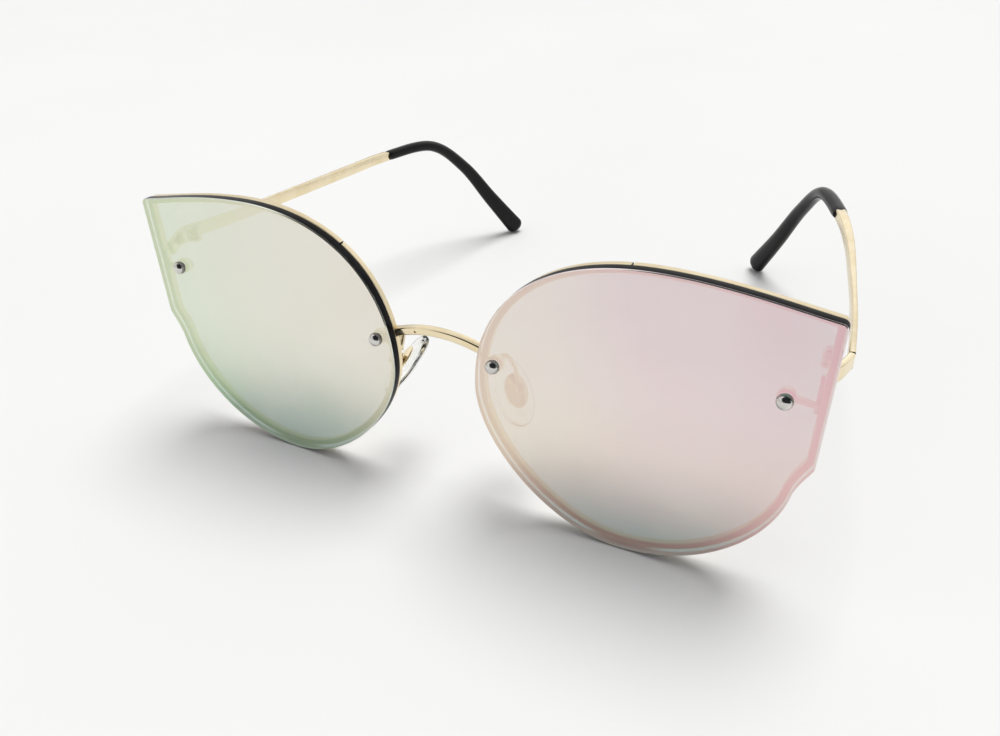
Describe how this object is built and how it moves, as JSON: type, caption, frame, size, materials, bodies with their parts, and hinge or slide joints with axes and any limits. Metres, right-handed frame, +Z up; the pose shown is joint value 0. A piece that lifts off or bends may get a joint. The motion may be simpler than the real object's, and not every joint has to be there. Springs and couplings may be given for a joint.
{
  "type": "cat eye sunglasses",
  "caption": "Oversized cat eye sunglasses: flat mirrored lenses riveted over slim metal rims, arched bridge, rocking nose pads and folding temples with black tips.",
  "frame": {"origin": "on the table surface, at the middle of the glasses' bounding box seen from above", "axes": "+X towards the wearer's left along the front, +Y from the lenses back towards the ears, +Z up; the glasses stand open on both lenses and both temple tips"},
  "size_m": [0.1494, 0.1227, 0.0596],
  "materials": {
    "gold_metal": "polished, pale gold plated",
    "rivet_steel": "polished domed",
    "black_tip": "glossy black acetate",
    "clear_pad": "clear soft vinyl",
    "nylon": "natural nylon",
    "pink_mirror_lens": "tinted polycarbonate with a pearly pink mirror coat",
    "green_mirror_lens": "tinted polycarbonate with a pearly green mirror coat"
  },
  "bodies": {
    "front": {"bridge": "gold_metal", "bush_nasal_left": "nylon", "bush_nasal_right": "nylon", "bush_temporal_left": "nylon", "bush_temporal_right": "nylon", "end_piece_left": "gold_metal", "end_piece_right": "gold_metal", "hinge_front_left": "gold_metal", "hinge_front_right": "gold_metal", "hinge_screw_left": "rivet_steel", "hinge_screw_right": "rivet_steel", "lens_left": "pink_mirror_lens", "lens_right": "green_mirror_lens", "lug_nasal_left": "gold_metal", "lug_nasal_right": "gold_metal", "lug_temporal_left": "gold_metal", "lug_temporal_right": "gold_metal", "nut_nasal_left": "rivet_steel", "nut_nasal_right": "rivet_steel", "nut_temporal_left": "rivet_steel", "nut_temporal_right": "rivet_steel", "pad_arm_left": "gold_metal", "pad_arm_right": "gold_metal", "pad_box_left": "gold_metal", "pad_box_right": "gold_metal", "pad_screw_left": "gold_metal", "pad_screw_right": "gold_metal", "rim_left": "gold_metal", "rim_right": "gold_metal", "rivet_nasal_left": "rivet_steel", "rivet_nasal_right": "rivet_steel", "rivet_temporal_left": "rivet_steel", "rivet_temporal_right": "rivet_steel"},
    "left_temple_arm": {"temple_left": "gold_metal", "hinge_rear_left": "gold_metal", "temple_tip_left": "black_tip"},
    "left_nose_pad": {"nose_pad_left": "clear_pad", "pad_insert_left": "gold_metal"},
    "right_temple_arm": {"temple_right": "gold_metal", "hinge_rear_right": "gold_metal", "temple_tip_right": "black_tip"},
    "right_nose_pad": {"nose_pad_right": "clear_pad", "pad_insert_right": "gold_metal"}
  },
  "joints": [
    {"name": "left_temple_fold", "type": "hinge", "parent": "front", "child": "left_temple_arm", "pos_m": [0.07085, -0.04478, 0.04354], "axis": [0, 0.1011, 0.9949], "range_deg": [0, 77]},
    {"name": "right_temple_fold", "type": "hinge", "parent": "front", "child": "right_temple_arm", "pos_m": [-0.07085, -0.04478, 0.04354], "axis": [0, -0.1011, -0.9949], "range_deg": [0, 70]},
    {"name": "left_pad_rock", "type": "hinge", "parent": "front", "child": "left_nose_pad", "pos_m": [0.01479, -0.04976, 0.02486], "axis": [-0.6012, -0.7871, 0.1376], "range_deg": [-8, 8]},
    {"name": "right_pad_rock", "type": "hinge", "parent": "front", "child": "right_nose_pad", "pos_m": [-0.01479, -0.04976, 0.02486], "axis": [0.6012, -0.7871, 0.1376], "range_deg": [-8, 8]}
  ]
}
